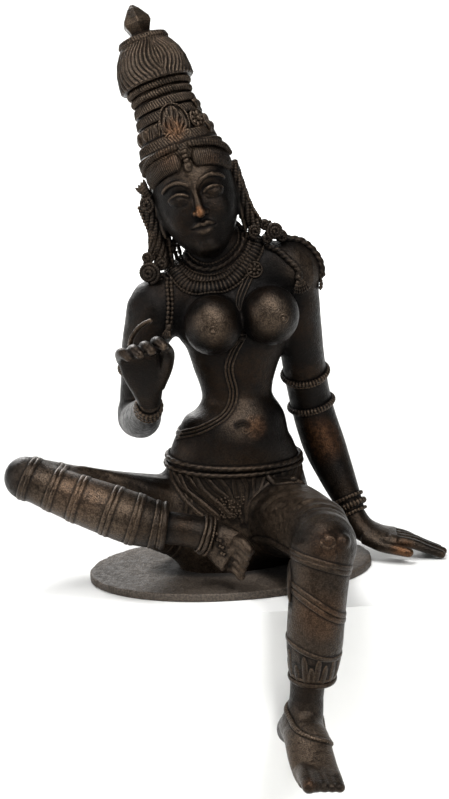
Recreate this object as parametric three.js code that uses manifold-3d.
// A seated goddess in cast bronze: one leg folded on a thin oval seat plate, the other hanging in
// front of it, one hand raised to hold a flower, the other leaning on the ledge beside the plate.
// Figure and plate are one casting. Millimetres, +Z up, the figure faces -Y.
// The origin is the middle of the plate's flat underside, which rests on the ledge.
import * as THREE from "three";
import { mergeVertices } from "three/addons/utils/BufferGeometryUtils.js";
import Module from "manifold-3d";

const wasm = await Module();
wasm.setup();

// Driving dimensions
const figureHeight = 266; // lowest toe to the tip of the crown
const plateWidth = 108;
const plateDepth = 76;
const plateThickness = 3;
const plateRounding = 0.8; // round of the plate's upper edge
const seatForward = 4; // the figure sits this far in front of the plate's middle
const seatSink = 0.8; // depth to which the seated body runs into the plate
const bandHeight = 0.8; // how far raised bands stand off the limb
const bandWidth = 2.4;
const foldWidth = 2.6; // folds of the sash below the belt
const fluteCount = 20;
const fluteDepth = 0.7;

// The pose is drawn on a figure 266 units high, with z measured from the plate's upper face.
const poseHeight = 266;
const unit = figureHeight / poseHeight;
const ledge = -plateThickness / unit; // the ledge's height in the pose's units
const at = (x, y, z) => new THREE.Vector3(x, y, z).multiplyScalar(unit);
const toward = (x, y, z) => new THREE.Vector3(x, y, z).normalize();
const turn = Math.PI * 2;

// Closed meshes and joins

function bare(geometry) {
  geometry.deleteAttribute("normal");
  geometry.deleteAttribute("uv");
  return mergeVertices(geometry, 1e-4);
}

function asManifold(geometry, inward = false) {
  const triVerts = new Uint32Array(geometry.index.array);
  if (inward)
    for (let i = 0; i < triVerts.length; i += 3)
      [triVerts[i + 1], triVerts[i + 2]] = [triVerts[i + 2], triVerts[i + 1]];
  const vertProperties = geometry.attributes.position.array;
  return new wasm.Manifold(new wasm.Mesh({ numProp: 3, vertProperties, triVerts }));
}

// A closed geometry as a solid, whichever way its faces point.
function solid(geometry) {
  const merged = bare(geometry);
  const made = asManifold(merged);
  return made.volume() > 0 ? made : asManifold(merged, true);
}

function join(pieces) {
  return pieces.reduce((whole, piece) => whole.add(piece));
}

function geometryOf(body) {
  const mesh = body.getMesh();
  const stride = mesh.numProp;
  const position = new Float32Array(mesh.numVert * 3);
  for (let i = 0; i < mesh.numVert; i++)
    position.set(mesh.vertProperties.subarray(i * stride, i * stride + 3), i * 3);
  const geometry = new THREE.BufferGeometry();
  geometry.setAttribute("position", new THREE.BufferAttribute(position, 3));
  geometry.setIndex(new THREE.BufferAttribute(new Uint32Array(mesh.triVerts), 1));
  geometry.computeVertexNormals();
  return geometry;
}

// The solid inside rings of points, with a cap at each end.
function skin(rings) {
  const sides = rings[0].length;
  const points = rings.flat();
  const faces = [];
  for (let i = 0; i + 1 < rings.length; i++)
    for (let j = 0; j < sides; j++) {
      const a = i * sides + j;
      const b = i * sides + ((j + 1) % sides);
      faces.push(a, b, b + sides, a, b + sides, a + sides);
    }
  for (const i of [0, rings.length - 1]) {
    const middle = rings[i].reduce((sum, p) => sum.add(p), new THREE.Vector3());
    points.push(middle.divideScalar(sides));
    for (let j = 0; j < sides; j++) {
      const a = i * sides + j;
      const b = i * sides + ((j + 1) % sides);
      faces.push(points.length - 1, i === 0 ? b : a, i === 0 ? a : b);
    }
  }
  const geometry = new THREE.BufferGeometry().setFromPoints(points);
  geometry.setIndex(faces);
  return solid(geometry);
}

// A limb or trunk: oval sections along a curve. Each station is [x, y, z, wide, front, back],
// with front the direction that the section's front half faces.
class Form {
  constructor(front, stations) {
    this.front = front;
    this.path = new THREE.CatmullRomCurve3(stations.map(([x, y, z]) => at(x, y, z)));
    this.sizes = new THREE.CatmullRomCurve3(
      stations.map(([, , , wide, ahead = wide, behind = ahead]) => at(wide, ahead, behind)),
    );
    this.count = stations.length - 1;
  }

  // The point on the skin at a place that counts stations, 0 at the first and 1 at the second, and
  // at an angle from the side, pi / 2 being the front, raised by lift.
  point(place, angle, lift = 0) {
    const share = THREE.MathUtils.clamp(place / this.count, 0, 1);
    const along = this.path.getTangent(share);
    const side = new THREE.Vector3().crossVectors(this.front, along).normalize();
    const ahead = new THREE.Vector3().crossVectors(along, side).normalize();
    const size = this.sizes.getPoint(share);
    const deep = Math.sin(angle) > 0 ? size.y : size.z;
    return this.path
      .getPoint(share)
      .addScaledVector(side, Math.cos(angle) * (size.x + lift))
      .addScaledVector(ahead, Math.sin(angle) * (deep + lift));
  }

  // The limb's solid, with raised bands [place, width, height] and its rings slanted.
  body(sides, steps, { bands = [], slant = 0 } = {}) {
    const reach = this.path.getLength() / this.count;
    const levels = [];
    for (const [place, width = bandWidth, height = bandHeight] of bands) {
      const half = width / 2 / reach;
      levels.push([place - half, 0]);
      if (width > bandWidth) levels.push([place - half * 0.5, height], [place + half * 0.5, height]);
      else levels.push([place, height]);
      levels.push([place + half, 0]);
    }
    const clear = bandWidth / reach;
    for (let i = 0; i <= steps; i++) {
      const place = (i / steps) * this.count;
      const isEnd = i === 0 || i === steps;
      if (isEnd || levels.every(([other]) => Math.abs(other - place) > clear))
        levels.push([place, 0]);
    }
    levels.sort(([a], [b]) => a - b);
    const rings = levels.map(([place, lift]) =>
      Array.from({ length: sides }, (_, j) => {
        const angle = (j / sides) * turn;
        const easeOut = Math.min(place, this.count - place, 1);
        return this.point(place + slant * easeOut * Math.sin(angle), angle, lift);
      }),
    );
    return skin(rings);
  }
}

// A round cord through points, narrower at its ends.
function cord(points, radius, { sides = 5, steps = 12, taper = 0.5 } = {}) {
  const curve = new THREE.CatmullRomCurve3(points);
  const frames = curve.computeFrenetFrames(steps, false);
  const rings = [];
  for (let i = 0; i <= steps; i++) {
    const middle = curve.getPointAt(i / steps);
    const r = i === 0 || i === steps ? radius * taper : radius;
    rings.push(
      Array.from({ length: sides }, (_, j) => {
        const angle = (j / sides) * turn;
        return middle
          .clone()
          .addScaledVector(frames.normals[i], Math.cos(angle) * r)
          .addScaledVector(frames.binormals[i], Math.sin(angle) * r);
      }),
    );
  }
  return skin(rings);
}

function ball(centre, radius, { sides = 8, rows = 6, scale = [1, 1, 1], up = null } = {}) {
  const geometry = new THREE.SphereGeometry(radius, sides, rows);
  geometry.rotateX(Math.PI / 2);
  geometry.scale(...scale);
  if (up) {
    const lean = new THREE.Quaternion().setFromUnitVectors(new THREE.Vector3(0, 0, 1), up);
    geometry.applyQuaternion(lean);
  }
  geometry.translate(centre.x, centre.y, centre.z);
  return solid(geometry);
}

// Seat plate: a thin oval with a flat underside and a rounded upper edge

function plate() {
  const radius = plateWidth / 2;
  const profile = [new THREE.Vector2(0, 0), new THREE.Vector2(radius, 0)];
  for (const angle of [0, Math.PI / 4, Math.PI / 2])
    profile.push(
      new THREE.Vector2(
        radius - plateRounding * (1 - Math.cos(angle)),
        plateThickness - plateRounding * (1 - Math.sin(angle)),
      ),
    );
  profile.push(new THREE.Vector2(0, plateThickness));
  const geometry = new THREE.LatheGeometry(profile, 32);
  geometry.rotateX(Math.PI / 2);
  geometry.scale(1, plateDepth / plateWidth, 1);
  return solid(geometry);
}

// Trunk, from the seat to the neck

const trunk = new Form(toward(0.21, -0.98, 0), [
  [4.6, 6, -seatSink, 24, 14, 19],
  [4.6, 6, 10, 28, 17, 22],
  [4, 6, 22, 28, 17.5, 21.5],
  [3.4, 5.5, 34, 26.8, 16.5, 18],
  [4, 5, 44, 24.6, 15.5, 14.5],
  [4.9, 5, 51, 21.8, 15, 12.2],
  [6.2, 5.5, 58, 18.2, 13.3, 10.6],
  [6.4, 6, 66, 13.4, 10, 9.4],
  [6.6, 6, 78, 16.6, 11, 11],
  [7.2, 5.5, 88, 20.6, 12.3, 12.3],
  [6.4, 5, 98, 23, 12.5, 12.8],
  [5.4, 5.5, 106, 23, 10.8, 12],
  [4.4, 6.5, 113, 17, 8.6, 10],
  [3, 6.5, 119, 10.4, 7.8, 8.8],
  [1.4, 6, 125, 8.8, 7.6, 8.2],
  [-0.6, 4.5, 132, 8.2, 7.8, 8.2],
]);
const trunkSlant = -0.3; // the belt hangs lower in front
const beltPlace = 4.1; // stations along the trunk
const beltWidth = 3.6;
const beltHeight = 1.3;
const breastRadius = 10;
const breasts = [
  { centre: [-1, -11.5, 97], aim: [0, -1, -0.15] },
  { centre: [20.5, -9.5, 99], aim: [0.42, -0.9, -0.1] },
];
// slopes from the neck to each shoulder
const yokes = [
  [
    [0, 8, 117, 7, 6],
    [-11, 6.5, 108, 9, 8],
    [-22, 4, 101.5, 8, 8],
  ],
  [
    [6, 8.5, 121, 7, 6],
    [17, 8.5, 115.5, 8.5, 7.5],
    [29, 8, 111.5, 9, 9],
  ],
];

function torso() {
  const pieces = [
    trunk.body(14, 11, { bands: [[beltPlace, beltWidth, beltHeight]], slant: trunkSlant }),
  ];
  for (const { centre, aim } of breasts) {
    const middle = at(...centre);
    const nipple = middle.clone().addScaledVector(toward(...aim), (breastRadius - 0.2) * unit);
    pieces.push(ball(middle, breastRadius * unit, { sides: 10, rows: 6 }));
    pieces.push(ball(nipple, 1.4 * unit, { sides: 5, rows: 4 }));
  }
  for (const stations of yokes) pieces.push(new Form(toward(0, -1, 0.3), stations).body(8, 2));
  return pieces;
}

// Ornaments that lie on the body: necklaces, sacred thread, shoulder ropes and sash folds

const ornaments = [
  {
    name: "broad collar",
    radius: 1.7,
    points: [
      [-13, 2.6, 113],
      [-9.2, -3, 109.6],
      [-2.2, -5.2, 108.8],
      [5.6, -4.4, 110.2],
      [11.6, -0.8, 114.6],
      [16.6, 4.6, 121.4],
    ],
  },
  {
    name: "neck ring",
    radius: 1.1,
    points: [
      [-8.8, 4.6, 118.4],
      [-5.8, -0.2, 116],
      [-1, -2, 115],
      [4, -1.2, 116.4],
      [9.6, 4.2, 120.8],
    ],
  },
  {
    name: "sacred thread",
    radius: 1,
    points: [
      [14.2, 0, 113],
      [9.4, -5.8, 103.9],
      [8.6, -6.8, 98.5],
      [10.2, -6.8, 92.5],
      [6.1, -6.6, 84.8],
      [3.8, -5.6, 78],
      [5, -5, 67],
      [0.6, -7.6, 60.4],
      [-8.3, -7.5, 55.8],
      [-18, -0.8, 52.4],
    ],
  },
  {
    name: "shoulder rope",
    radius: 1.9,
    points: [
      [24.6, 9, 121],
      [30.4, 8, 122.2],
      [35.6, 8, 119.4],
      [38.6, 7.6, 114.4],
      [39.4, 7, 108],
    ],
  },
  {
    name: "breast rope",
    radius: 1.4,
    points: [
      [19.6, 4.4, 121.4],
      [24.4, 2.2, 119.4],
      [28.6, -0.8, 116],
      [31.6, -2, 111],
      [31.4, -2, 107],
    ],
  },
  {
    name: "beaded chain",
    radius: 1.5,
    points: [
      [-15.6, 0.6, 112],
      [-16.4, -2.2, 106.6],
      [-18.2, -5.4, 101.2],
      [-21, -7, 95],
    ],
  },
];
const sashFolds = 5;
const sashFan = 1.5; // angle over which the folds spread at the belt

function dress() {
  const pieces = ornaments.map(({ radius, points }) =>
    cord(
      points.map((p) => at(...p)),
      radius * unit,
      { sides: 4, steps: points.length + 1 },
    ),
  );
  // folds fan out below the belt and meet between the thighs
  for (let i = 0; i < sashFolds; i++) {
    const spread = i / (sashFolds - 1) - 0.5;
    const fold = [3.4, 2.7, 1.9].map((place, j) =>
      trunk.point(place, Math.PI / 2 - sashFan * spread * (1 - 0.36 * j), 0.2 * unit),
    );
    pieces.push(cord(fold, foldWidth / 2, { sides: 4, steps: 3 }));
  }
  return pieces;
}

// Arms. Right and left are the figure's own.

const rightUpperArm = new Form(toward(0, -1, 0), [
  [-22.6, 3, 100, 8.8, 8.8],
  [-24.9, 3.2, 94, 9.2, 9.2],
  [-27.2, 4.2, 87, 8.5, 8.5],
  [-29.4, 6.5, 76, 7.3, 7.3],
  [-31.2, 9, 61, 7.4, 7.4],
]);
const rightForearm = new Form(toward(0, 0, 1), [
  [-31.5, 8, 58.5, 7.2, 7.2],
  [-30, -6, 61, 7.2, 7.2],
  [-27.4, -22, 67, 5.8, 5.8],
  [-25.6, -35, 72.5, 3.8, 3.8],
  [-25.2, -38, 74.5, 3.8, 3.5],
]);
const leftArm = new Form(toward(0, -1, 0), [
  [29.2, 7.5, 109.5, 8.6, 8.6],
  [30.2, 9, 101, 9.2, 9.2],
  [31.3, 11.6, 91, 8.5, 8.5],
  [32.5, 16, 74, 8.2, 8.2],
  [34.8, 19, 57, 8, 7.8],
  [38.2, 18.5, 43, 8.2, 7.8],
  [43.4, 15.5, 28, 6.8, 6.6],
  [48.6, 11, 14.6, 4.6, 4.4],
]);
const elbow = { centre: [-31.5, 9, 58.4], radius: 7.5 };
const shoulders = [
  { centre: [-22.4, 3, 100.4], radius: 10.2 },
  { centre: [29.8, 8, 110.6], radius: 10.4 },
];

function arms() {
  return [
    ...shoulders.map(({ centre, radius }) =>
      ball(at(...centre), radius * unit, { sides: 8, rows: 5 }),
    ),
    rightUpperArm.body(9, 4, { bands: [[2.9]], slant: 0.08 }),
    ball(at(...elbow.centre), elbow.radius * unit, { sides: 8, rows: 5 }),
    rightForearm.body(9, 3, { bands: [[2.8, 4.4]] }),
    leftArm.body(9, 5, { bands: [[3.05], [3.62], [6.75, 3, 1.2]], slant: 0.06 }),
  ];
}

// Hands: a flat palm, four fingers of three bones each and a thumb

const between = (a, b, share) => a.map((v, i) => v + (b[i] - v) * share);
const offset = (a, b) => a.map((v, i) => v + b[i]);

// A finger or toe through its joints, narrowing to a rounded tip.
function finger(points, radius, narrowing = 0.3) {
  const last = points.length - 1;
  const stations = points.map((p, i) => [...p, radius * (1 - (narrowing * i) / last)]);
  const tip = between(points[last - 1], points[last], 1.14);
  stations.push([...tip, radius * 0.35]);
  const bone = new THREE.Vector3(...points[1]).sub(new THREE.Vector3(...points[0])).normalize();
  const front = Math.abs(bone.z) > 0.8 ? toward(0, -1, 0) : toward(0, 0, 1);
  return new Form(front, stations).body(5, stations.length - 1);
}

// The raised hand: palm to the front, fingers bent forward over it, thumb touching the first.
const raisedPalm = new Form(toward(0, -1, 0.3), [
  [-25, -37, 73.5, 3.8, 3.4],
  [-25.6, -39.5, 79.5, 5.6, 3.6],
  [-26.4, -41.8, 87, 7.8, 3.3],
  [-27, -43, 93, 8.4, 2.8],
]);
const raisedThumb = [
  [-21.8, -40, 81],
  [-18.4, -44, 88],
  [-17, -49, 94],
  [-17.6, -53.4, 97],
];
const littleKnuckle = [-33.4, -42.5, 92];
const firstKnuckle = [-20.8, -43.5, 95.6];

function raisedHand() {
  const pieces = [raisedPalm.body(8, 3), finger(raisedThumb, 2.7)];
  for (let i = 0; i < 4; i++) {
    const root = between(littleKnuckle, firstKnuckle, i / 3);
    const reach = [0.82, 1, 1.05, 0.95][i];
    const joints = [
      root,
      offset(root, [-0.2, -5.4 * reach, 3]),
      offset(root, [2, -10.4 * reach, 2.4]),
      offset(root, [4.6, -12.4 * reach, -0.8]),
    ];
    pieces.push(finger(joints, 2.5));
  }
  return pieces;
}

// The leaning hand: palm down beside the plate, fingertips on the ledge.
const leaningPalm = new Form(toward(0, 0, 1), [
  [48.2, 11.2, 14.6, 4.4, 4.4],
  [51.6, 9.8, ledge + 11.8, 5.8, 4.6],
  [57, 8.6, ledge + 9.2, 7.6, 3.9],
  [64, 8.2, ledge + 8.2, 8.4, 2.8],
]);
const leaningThumb = [
  [51.8, 4.8, ledge + 9.4],
  [58, 0.6, ledge + 6.9],
  [63.6, -1.8, ledge + 5.7],
  [68, -3, ledge + 4.7],
];

function leaningHand() {
  const pieces = [leaningPalm.body(8, 4), finger(leaningThumb, 2.7)];
  for (let i = 0; i < 4; i++) {
    const y = 2.6 + i * 3.8;
    const reach = [1, 1.05, 0.98, 0.82][i];
    const joints = [
      [61.5, y, ledge + 8.4],
      [61.5 + 8.2 * reach, y - 0.2, ledge + 6.6],
      [61.5 + 14.4 * reach, y - 0.6, ledge + 3.9],
      [61.5 + 19.4 * reach, y - 1, ledge + 1.9],
    ];
    pieces.push(finger(joints, 2.3));
  }
  return pieces;
}

// Legs

const foldedThigh = new Form(toward(0, 0, 1), [
  [-6, 5, 16, 15.5, 16],
  [-22, 1, 21.5, 14.5, 15],
  [-40, -9, 30.5, 12, 11.4],
  [-57, -17, 39, 9.6, 8.6],
  [-71, -23.5, 46, 7.4, 7.2],
]);
const foldedShin = new Form(toward(0, 0, 1), [
  [-72.5, -25, 45.8, 7.4, 7.4],
  [-64, -26.5, 42, 8, 8],
  [-55, -27.5, 38, 8.8, 8.8],
  [-45, -29, 34, 9.6, 9.4],
  [-35, -30, 29.8, 9.8, 9.6],
  [-27, -30, 27, 8.8, 8.8],
  [-22.5, -30, 26, 8, 8],
]);
const foldedAnkle = new Form(toward(0, 0, 1), [
  [-26, -29.6, 26.8, 5.2, 5],
  [-16, -29.6, 25.6, 4.6, 4.6],
  [-6, -28.8, 21.6, 5.8, 5.6],
]);
const foldedKnee = { centre: [-72.8, -24.4, 45.8], radius: 8 };
const hangingThigh = new Form(toward(0, 0, 1), [
  [16.6, 7, 16, 16, 15.6],
  [22.4, -10, 20, 14.8, 14.6],
  [27.8, -29, 23.2, 13.1, 12.9],
  [31.8, -47, 25.2, 11.7, 11.6],
  [33.4, -62, 25, 10.6, 10.6],
]);
const hangingShin = new Form(toward(0, -1, 0), [
  [33.2, -62.5, 25, 10.6, 10],
  [31.2, -64, 14, 10.4, 10],
  [29.4, -65, 2, 10.2, 10, 10.6],
  [28, -64.5, -9, 10.4, 9.2, 11.6],
  [27, -62.5, -18, 9.6, 8, 9.6],
  [26.2, -61, -25.4, 8.4, 7, 7.8],
]);
const hangingAnkle = new Form(toward(0, -1, 0), [
  [25.4, -61, -22, 6.6, 5.8, 6.2],
  [24.4, -60.4, -31, 6, 5.4, 6],
  [23.4, -60, -38, 6.4, 6, 6.6],
  [22, -60.5, -44, 5.8, 5.6, 6],
]);
const hangingKnee = { centre: [33.4, -62.5, 25], radius: 11 };
const kneeBoss = { centre: [34.2, -72.4, 27.6], radius: 3, aim: [0.1, -0.95, 0.3] };
const foldedBands = [0.6, 1.75, 2.4, 3.4, 4.3];
const hangingBands = [0.95, 2.35, 3.9];

function legs() {
  const knee = ({ centre, radius }) => ball(at(...centre), radius * unit, { sides: 8, rows: 5 });
  const boss = { sides: 8, rows: 4, scale: [1, 1, 0.5], up: toward(...kneeBoss.aim) };
  return [
    foldedThigh.body(10, 4),
    knee(foldedKnee),
    foldedShin.body(10, 4, {
      bands: [...foldedBands.map((place) => [place]), [5.75]],
      slant: 0.12,
    }),
    foldedAnkle.body(8, 3, { bands: [[1.5]] }),
    hangingThigh.body(10, 4),
    knee(hangingKnee),
    ball(at(...kneeBoss.centre), kneeBoss.radius * unit, boss),
    hangingShin.body(10, 5, {
      bands: [...hangingBands.map((place) => [place]), [4.8]],
      slant: -0.1,
    }),
    hangingAnkle.body(8, 3),
  ];
}

// Feet: heel, instep and ball, then five toes, and a loose anklet on the hanging foot

const hangingSole = new Form(toward(0, -0.2, 1), [
  [18.6, -53, -47, 4.8, 4.8, 4.4],
  [20.4, -59, -44, 6.2, 7, 6],
  [23.2, -68, -44, 7.4, 6.6, 5],
  [24.6, -78, -47.4, 7.6, 4.4, 3.8],
  [25.6, -86, -50.2, 7.4, 3.2, 3],
  [26.4, -91, -51.6, 6.8, 2.4, 2.4],
]);
const foldedSole = new Form(toward(-0.3, -0.9, 0.3), [
  [-8, -26, 19.6, 5, 4.6, 4.4],
  [-3, -27.6, 17, 7, 4.6, 4.2],
  [1.6, -30.4, 13, 8.2, 3.6, 3.4],
  [4.6, -33.6, 10.4, 8, 2.6, 2.6],
]);
const anklet = [
  [17.4, -57, -35],
  [18.4, -64, -37.8],
  [20.2, -71, -40.4],
  [23.6, -74.4, -42.8],
  [27.8, -75, -44.8],
  [30.4, -71, -45.4],
  [30, -64, -44.4],
];

function feet() {
  const ring = anklet.map((p) => at(...p));
  const pieces = [
    hangingSole.body(8, 5),
    foldedSole.body(8, 3),
    cord(ring, 1.5 * unit, { sides: 4, steps: 7 }),
  ];
  for (let i = 0; i < 5; i++) {
    const root = between([20.8, -86, -49.4], [30.8, -83, -50.6], i / 4);
    const tip = between([22.4, -97.6, -50], [33, -95, -52.2], i / 4);
    const bend = offset(between(root, tip, 0.5), [0, 0, 0.9]);
    pieces.push(finger([root, bend, tip], [2.8, 2.2, 2.1, 2, 2][i], 0.1));
    const folded = [5.8 - i * 1.1, -32.6 + i * 0.9, 15.4 - i * 2.7];
    const short = [6.8, 6.4, 6, 5.8, 5.8][i];
    const curled = [
      folded,
      offset(folded, [0.5 * short, -0.45 * short, -0.06 * short]),
      offset(folded, [0.86 * short, -0.7 * short, -0.4 * short]),
    ];
    pieces.push(finger(curled, [2.5, 2, 2, 1.9, 1.9][i], 0.1));
  }
  return pieces;
}

// Head, on an axis that leans to the figure's right and back

const headAxis = toward(-0.2, 0.13, 0.97);
const headFront = toward(0.02, -0.99, 0.13);
const headSide = new THREE.Vector3().crossVectors(headFront, headAxis).normalize();
const headMiddle = [-4.4, 2.6, 141.4];

// A point of the head, by units along its axis, forward of it and to its left side.
const onHead = (along, forward, aside = 0) =>
  at(...headMiddle)
    .addScaledVector(headAxis, along * unit)
    .addScaledVector(headFront, forward * unit)
    .addScaledVector(headSide, aside * unit);

// Stations of the head and nose are [along, forward, half width, front, back].
function headForm(stations) {
  return new Form(
    headFront,
    stations.map(([along, forward, ...sizes]) => {
      const { x, y, z } = onHead(along, forward).divideScalar(unit);
      return [x, y, z, ...sizes];
    }),
  );
}
const skull = headForm([
  [-21.4, 8, 4, 3.8, 3.6],
  [-19.4, 6.6, 7.4, 7.2, 7],
  [-15.4, 4.4, 10.6, 9.8, 9.6],
  [-9.4, 2, 13, 12, 12.8],
  [-2.6, 0.4, 14.2, 13.8, 16],
  [5, 0, 14.6, 14.2, 17],
  [12, 0, 14.4, 13.6, 16.6],
  [18, -0.4, 12.6, 11.6, 14],
  [21.5, -0.8, 8, 7.5, 9.4],
]);
const nose = headForm([
  [4, 13.8, 0.9, 0.8, 2.4],
  [0, 14.6, 1, 1, 2.4],
  [-4.2, 15.8, 1.5, 1.3, 2.4],
  [-5.6, 15, 1.9, 1.2, 2.4],
]);

function head() {
  const pieces = [skull.body(12, 8), nose.body(6, 3)];
  for (const s of [-1, 1]) {
    const brow = [onHead(3.2, 13.4, 1.6 * s), onHead(5.6, 12.9, 5.6 * s), onHead(3.4, 10.8, 10 * s)];
    const eye = { sides: 6, rows: 4, scale: [3.1, 1.7, 1.5], up: headAxis };
    const ear = { sides: 6, rows: 4, scale: [2.4, 3.4, 6.6], up: headAxis };
    pieces.push(cord(brow, 0.8 * unit, { sides: 3, steps: 3 }));
    pieces.push(ball(onHead(1, 11.7, 5.4 * s), unit, eye));
    pieces.push(ball(onHead(0, 0.6, 15.4 * s), unit, ear));
  }
  const lips = [
    [-9.8, 12.7, 3.6, 0.9],
    [-11.5, 12.2, 2.9, 1],
  ];
  for (const [along, forward, wide, tall] of lips)
    pieces.push(
      ball(onHead(along, forward), unit, {
        sides: 6,
        rows: 4,
        scale: [wide, 1.7, tall],
        up: headAxis,
      }),
    );
  return pieces;
}

// Hair: a combed roll over each temple, a parting jewel, and locks that fall to curls

const locks = [
  { points: [[-23.4, 3, 148], [-22.6, 3, 140], [-20.6, 3, 132], [-18.6, 3, 119]], radius: 3.2 },
  { points: [[-16.5, 4, 137], [-14.8, 4, 128], [-14.4, 4, 115]], radius: 1.9 },
  { points: [[8.6, 6, 153.6], [11.2, 5, 144], [13.6, 5, 135], [16, 5, 122]], radius: 2.9 },
];
const curls = [
  { centre: [-21.6, 2.4, 142.6], radius: 4.2 },
  { centre: [-22.8, 3, 116.6], radius: 4.8 },
  { centre: [-17.2, 1, 114], radius: 3.8 },
  { centre: [16.2, 3, 126], radius: 3.4 },
  { centre: [23, 6, 126.4], radius: 4.4 },
  { centre: [20.4, 7, 121.4], radius: 4.4 },
];

function hair() {
  const pieces = [];
  for (const s of [-1, 1]) {
    const roll = [0.1, 0.45, 0.8, 1.15, 1.5].map((angle) =>
      onHead(
        14 - 5.4 * (angle / 1.5) ** 2,
        13.4 * Math.cos(angle) - 0.4,
        13.9 * Math.sin(angle) * s,
      ),
    );
    pieces.push(cord(roll, 3.1 * unit, { sides: 5, steps: 4, taper: 0.8 }));
  }
  const jewel = { sides: 6, rows: 4, scale: [1.7, 1.6, 3.2], up: headAxis };
  pieces.push(ball(onHead(12, 13.8), unit, jewel));
  for (const { points, radius } of locks)
    pieces.push(
      cord(
        points.map((p) => at(...p)),
        radius * unit,
        { sides: 5, steps: 4, taper: 0.7 },
      ),
    );
  for (const { centre, radius } of curls)
    pieces.push(ball(at(...centre), radius * unit, { sides: 6, rows: 5 }));
  return pieces;
}

// Crown: stepped rings, a fluted dome, a collar and a bud, all turned on one leaning axis

const crownAxis = toward(-0.258, 0.27, 0.93);
const crownLean = new THREE.Quaternion().setFromUnitVectors(new THREE.Vector3(0, 0, 1), crownAxis);
const crownFoot = [-8.6, 5.4, 155.8];
const crownTiers = [
  // height on the axis and radius, from the diadem up
  [-3, 15.2],
  [0, 16.2],
  [2.6, 16.2],
  [7.4, 14.6],
  [8.4, 13.2],
  [13.6, 12.6],
  [14.4, 11.4],
  [15.4, 12.4],
  [18.6, 12],
  [20.2, 10.6],
  [21, 11.4],
  [24, 11.2],
  [24.8, 10.6],
  [25.6, 12.6],
  [28.6, 12.8],
];
const dome = [
  // height, radius and share of the flutes' depth
  [28, 12, 0.5],
  [32.6, 14, 1],
  [38.4, 14, 1],
  [43.6, 11.2, 0.8],
  [45, 9.4, 0.3],
];
const finial = [
  [43, 0],
  [43.6, 9.2],
  [45, 10],
  [46.8, 9.4],
  [48, 5.4],
  [49, 4.4],
  [52.4, 5.8],
  [54.6, 5.2],
  [60.6, 0],
];
const medallion = { height: 11, angle: -1.62, tall: 7, wide: 4.8, deep: 2.4 };

function onCrown(height, radius, angle) {
  const p = new THREE.Vector3(radius * Math.cos(angle), radius * Math.sin(angle), height);
  return p
    .applyQuaternion(crownLean)
    .multiplyScalar(unit)
    .add(at(...crownFoot));
}

function turned(profile, sides) {
  const geometry = new THREE.LatheGeometry(profile, sides);
  geometry.rotateX(Math.PI / 2);
  geometry.scale(unit, unit, unit);
  geometry.applyQuaternion(crownLean);
  geometry.translate(...at(...crownFoot));
  return solid(geometry);
}

function crown() {
  const tiers = crownTiers.map(([height, radius]) => new THREE.Vector2(radius, height));
  tiers.unshift(new THREE.Vector2(0, crownTiers[0][0]));
  tiers.push(new THREE.Vector2(0, crownTiers[crownTiers.length - 1][0]));
  const ribs = fluteCount * 2;
  const domeRings = dome.map(([height, radius, cut]) =>
    Array.from({ length: ribs }, (_, j) => {
      const groove = (j % 2) * cut * (fluteDepth / unit);
      return onCrown(height, radius - groove, (j / ribs) * turn + (height - 25) * 0.012);
    }),
  );
  const { height, angle, tall, wide, deep } = medallion;
  const middle = onCrown(height, 13, angle);
  const rosette = { sides: 6, rows: 5, scale: [3.2, 3.2, 4], up: crownAxis };
  return [
    turned(tiers, 14),
    skin(domeRings),
    turned(
      finial.map(([h, r]) => new THREE.Vector2(r, h)),
      9,
    ),
    ball(middle, unit, { rows: 5, scale: [wide, deep, tall], up: crownAxis }),
    ball(onCrown(height, 13, angle + 0.75), unit, rosette),
  ];
}

// Small hollows closed off between locks, beads and folds are cast solid.
function castSolid(whole) {
  return join(whole.decompose().filter((shell) => shell.volume() > 0));
}

const figureSolid = join([
  ...torso(),
  ...dress(),
  ...arms(),
  ...raisedHand(),
  ...leaningHand(),
  ...legs(),
  ...feet(),
  ...head(),
  ...hair(),
  ...crown(),
]);
const casting = castSolid(
  figureSolid.translate([0, -seatForward, plateThickness]).add(plate()),
);

const bronze = new THREE.MeshStandardMaterial({
  name: "dark patinated bronze",
  color: 0x2e2723,
  roughness: 0.45,
  metalness: 0.85,
});
const figure = new THREE.Mesh(geometryOf(casting), bronze);
figure.name = "parvati_figure";

const root = new THREE.Group();
root.add(figure);

export default root;
